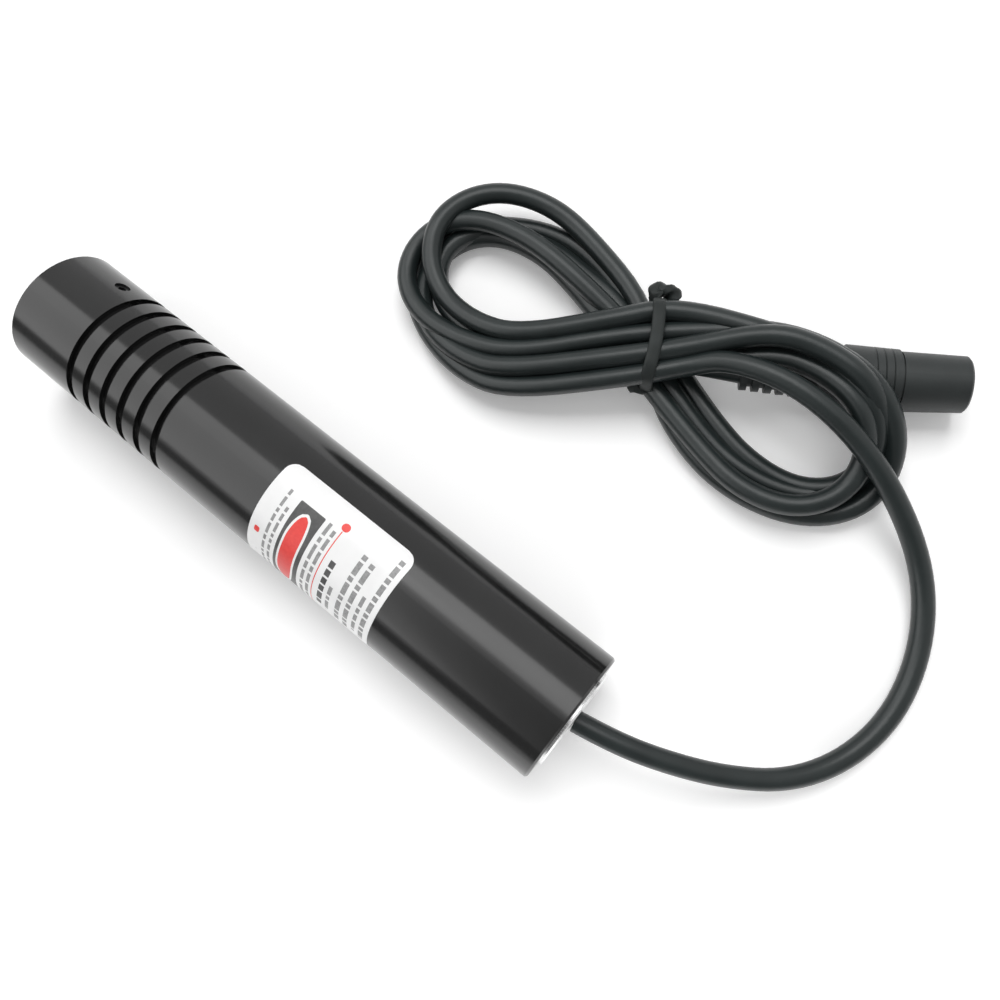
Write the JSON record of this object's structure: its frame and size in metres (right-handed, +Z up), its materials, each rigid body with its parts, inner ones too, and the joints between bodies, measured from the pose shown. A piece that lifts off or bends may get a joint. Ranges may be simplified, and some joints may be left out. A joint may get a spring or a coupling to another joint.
{
  "type": "laser diode module",
  "caption": "Round black laser module with cooling grooves, lying beside its hank of lead with a moulded DC socket.",
  "frame": {"origin": "under the middle of the module's barrel and plug, on the surface that it lies on", "axes": "+X along the barrel, the way the beam leaves; +Z up; the lead and its hank lie on the -Y side"},
  "size_m": [0.1795, 0.1092, 0.0261],
  "materials": {
    "black_anodised": "satin black anodised",
    "black_steel": "blackened",
    "label_film": "satin film",
    "bare_aluminium": "turned",
    "brass": "turned",
    "lens_glass": "polished",
    "spring_steel": "bright",
    "gold_plate": "plated",
    "board_green": "solder mask",
    "chip_black": "moulded",
    "trimmer_blue": "moulded",
    "cord_pvc": "satin black",
    "wire_red": "satin",
    "wire_black": "satin",
    "tie_pvc": "satin black",
    "moulded_pvc": "fine matt black",
    "socket_black": "moulded"
  },
  "bodies": {
    "root": {"housing": "black_anodised", "grub_screw": "black_steel", "label": "label_film", "optics_holder": "bare_aluminium", "lens_cell": "brass", "collimating_lens": "lens_glass", "lens_ring": "brass", "focus_spring": "spring_steel", "diode_base": "gold_plate", "diode_cap": "spring_steel", "diode_window": "lens_glass", "diode_pins": "gold_plate", "diode_ring": "brass", "driver_board": "board_green", "driver_chip": "chip_black", "power_transistor": "chip_black", "capacitors": "bare_aluminium", "trimmer": "trimmer_blue", "inductor": "chip_black", "resistors": "chip_black", "rear_plug": "bare_aluminium", "cord_root": "cord_pvc", "cord_collar": "bare_aluminium", "wire_positive": "wire_red", "wire_negative": "wire_black", "cord_lead": "cord_pvc", "cord_hank": "cord_pvc", "cord_tie": "tie_pvc", "jack_shell": "moulded_pvc", "jack_insert": "socket_black", "jack_sleeve": "spring_steel", "jack_pin": "spring_steel"}
  },
  "joints": []
}
